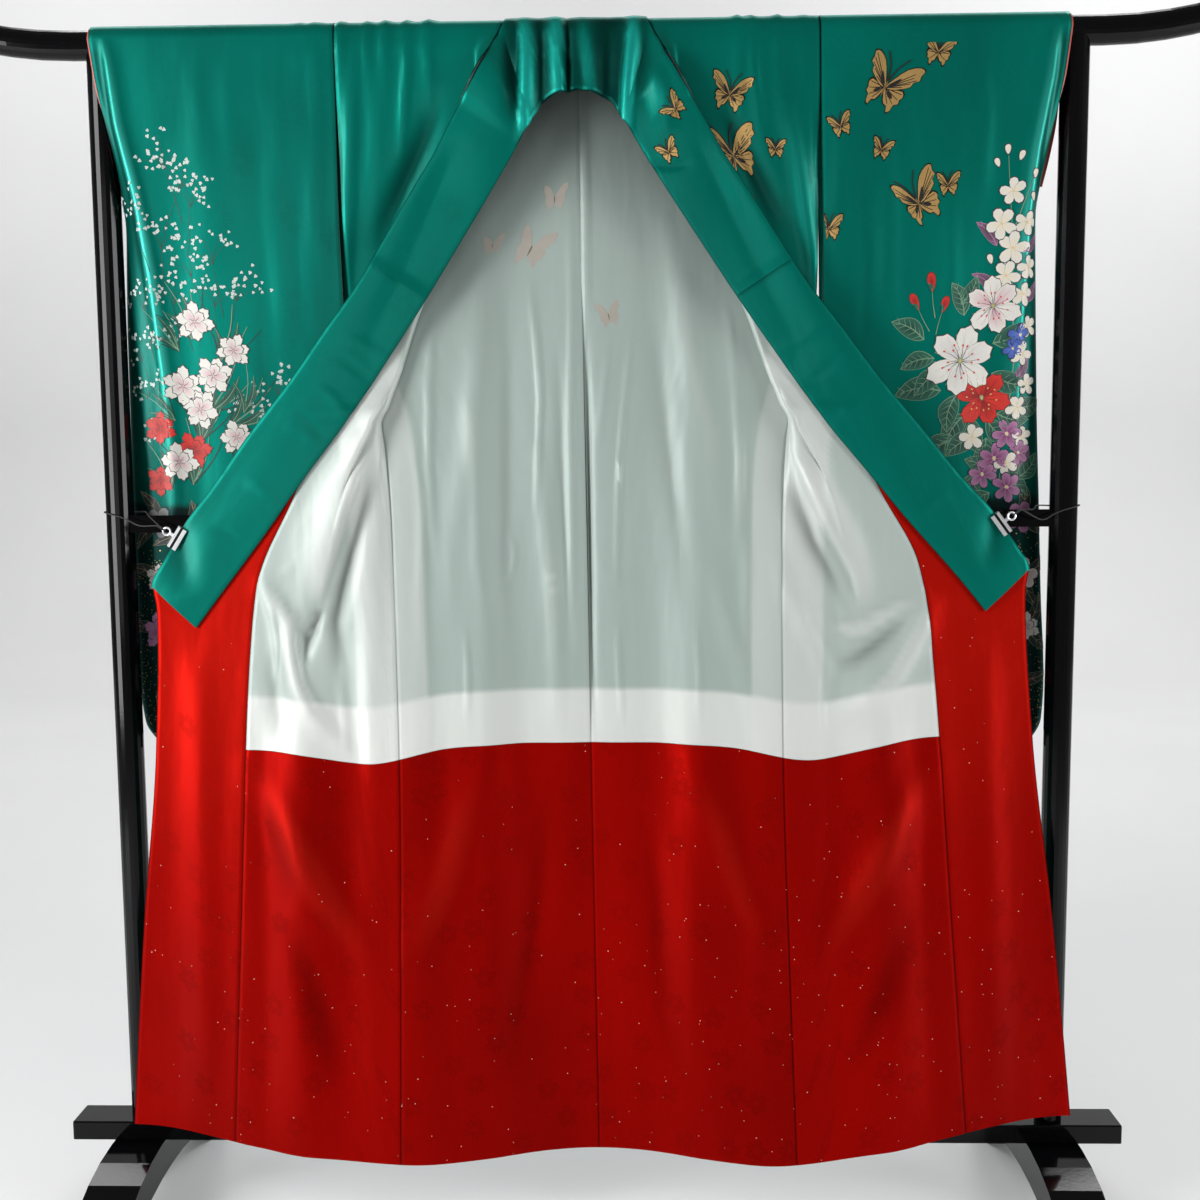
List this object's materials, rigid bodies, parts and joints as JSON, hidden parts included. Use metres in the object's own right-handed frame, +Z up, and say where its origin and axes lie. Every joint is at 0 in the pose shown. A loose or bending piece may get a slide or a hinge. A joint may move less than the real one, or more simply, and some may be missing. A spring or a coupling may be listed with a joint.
{
  "type": "furisode kimono on a kimono rack",
  "caption": "Long-sleeved silk kimono hung open on a lacquered rack, its lining showing, the fronts held out by clips and elastic cords.",
  "frame": {"origin": "on the floor, midway between the rack's posts and midway along its feet", "axes": "+X to the right as the inside of the kimono is seen, -Y towards the viewer, +Z up"},
  "size_m": [1.724, 0.49, 1.6984],
  "materials": {
    "green_silk": "satin silk, dyed",
    "white_lining_silk": "plain silk lining",
    "red_lining_silk": "satin silk lining",
    "pink_edge_silk": "silk edge lining",
    "black_lacquer": "black gloss lacquer",
    "chrome": "polished",
    "black_elastic": "matt cord"
  },
  "bodies": {
    "root": {"base_board": "black_lacquer", "body_L": "green_silk", "body_R": "green_silk", "body_lining_L": "white_lining_silk", "body_lining_R": "white_lining_silk", "clip_L": "chrome", "clip_R": "chrome", "collar": "green_silk", "elastic_cord_L": "black_elastic", "elastic_cord_R": "black_elastic", "foot_L": "black_lacquer", "foot_R": "black_lacquer", "hakkake_back_L": "red_lining_silk", "hakkake_back_R": "red_lining_silk", "hakkake_front_L": "red_lining_silk", "hakkake_front_R": "red_lining_silk", "knot_L": "black_elastic", "knot_R": "black_elastic", "mid_rail": "black_lacquer", "okumi_L": "green_silk", "okumi_R": "green_silk", "okumi_lining_L": "red_lining_silk", "okumi_lining_R": "red_lining_silk", "over_collar": "green_silk", "post_L": "black_lacquer", "post_R": "black_lacquer", "rail": "black_lacquer", "sleeve_L": "green_silk", "sleeve_R": "green_silk", "sleeve_lining_edge_L": "pink_edge_silk", "sleeve_lining_edge_R": "pink_edge_silk"}
  },
  "joints": []
}
